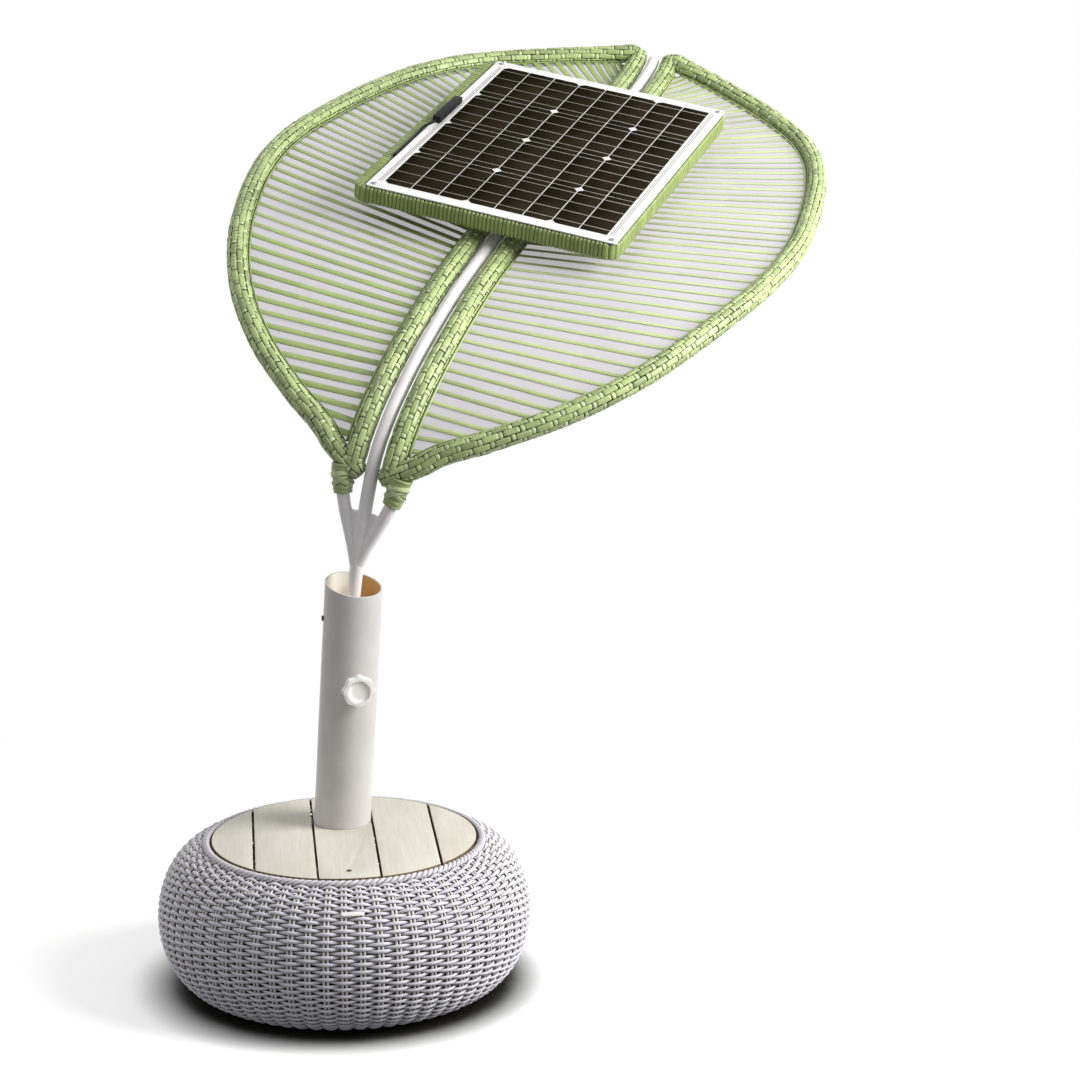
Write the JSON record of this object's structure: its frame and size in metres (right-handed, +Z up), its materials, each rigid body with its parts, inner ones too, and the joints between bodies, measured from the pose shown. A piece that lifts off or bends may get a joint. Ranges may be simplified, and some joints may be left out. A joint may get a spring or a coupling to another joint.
{
  "type": "solar charging bench",
  "caption": "Round woven seat with a plank top and a leaning post that carries a leaf-shaped shade of strung strips with a solar panel on it.",
  "frame": {"origin": "centre of the underside of the ballast plate, on the ground", "axes": "+Z up, Y along the planks with the post behind the centre at +Y, +X towards the side that the post leans to"},
  "size_m": [1.4402, 1.7505, 1.7107],
  "materials": {
    "weave": "satin",
    "plank": "matte",
    "paint": "satin",
    "white_paint": "satin",
    "inner_frame": "satin",
    "iron": "matte",
    "fastener": "satin",
    "nylon": "matte",
    "knob": "gloss",
    "green_strip": "satin",
    "shade": "matte",
    "sheet": "satin",
    "cell": "gloss",
    "black_plastic": "satin"
  },
  "bodies": {
    "seat": {"ballast_plate": "iron", "post_flange": "paint", "flange_bolt_1": "fastener", "flange_bolt_2": "fastener", "flange_bolt_3": "fastener", "battery_case": "black_plastic", "charge_controller": "black_plastic", "seat_frame": "inner_frame", "woven_shell": "weave", "braided_rim": "weave", "bearer_front": "inner_frame", "bearer_rear": "inner_frame", "plank_outer_left": "plank", "plank_left": "plank", "plank_right": "plank", "plank_outer_right": "plank", "plank_middle_front": "plank", "plank_middle_rear": "plank", "plank_screw": "fastener", "post": "paint", "upper_guide": "nylon", "clamp_collar": "nylon", "guide_screw": "fastener"},
    "lift_foot": {"pipe_foot": "nylon"},
    "canopy": {"middle_pipe": "white_paint", "pipe_cap": "white_paint", "leaf_rod_left": "inner_frame", "leaf_rod_right": "inner_frame", "branch_left": "white_paint", "branch_right": "white_paint", "leaf_wrap_left": "green_strip", "leaf_wrap_right": "green_strip", "strip_net_left": "green_strip", "strip_net_right": "green_strip", "shade_cloth_left": "shade", "shade_cloth_right": "shade", "panel_sheet": "sheet", "cell_string_1": "cell", "cell_string_2": "cell", "cell_string_3": "cell", "cell_string_4": "cell", "panel_bar_front": "green_strip", "panel_bar_rear": "green_strip", "panel_bar_left": "green_strip", "panel_bar_right": "green_strip", "panel_screw_1": "fastener", "panel_screw_2": "fastener", "panel_screw_3": "fastener", "panel_screw_4": "fastener", "crossbar_front": "inner_frame", "crossbar_rear": "inner_frame", "saddle_front": "white_paint", "saddle_rear": "white_paint", "saddle_strap_front": "white_paint", "saddle_strap_rear": "white_paint", "junction_box": "black_plastic", "box_lead": "black_plastic"},
    "knob_carrier": {"knob_washer": "nylon"},
    "knob_body": {"knob": "knob", "clamp_screw": "fastener"}
  },
  "joints": [
    {"name": "canopy_lift", "type": "slide", "parent": "seat", "child": "lift_foot", "axis": [0.061, 0, 0.9981], "range_m": [0, 0.15]},
    {"name": "canopy_swivel", "type": "hinge", "parent": "lift_foot", "child": "canopy", "pos_m": [0, 0.09, 0.28], "axis": [0.061, 0, 0.9981], "range_deg": [-170, 170]},
    {"name": "clamp_travel", "type": "slide", "parent": "seat", "child": "knob_carrier", "axis": [0.1802, -0.9836, -0.011], "range_m": [0, 0.0045]},
    {"name": "knob_turn", "type": "hinge", "parent": "knob_carrier", "child": "knob_body", "pos_m": [0.01685, 0.09, 0.55549], "axis": [0.1802, -0.9836, -0.011], "range_deg": [0, 1080]}
  ],
  "couplings": [
    {"joint": "clamp_travel", "follows": "knob_turn", "m_per_rad": 0.00023873}
  ]
}
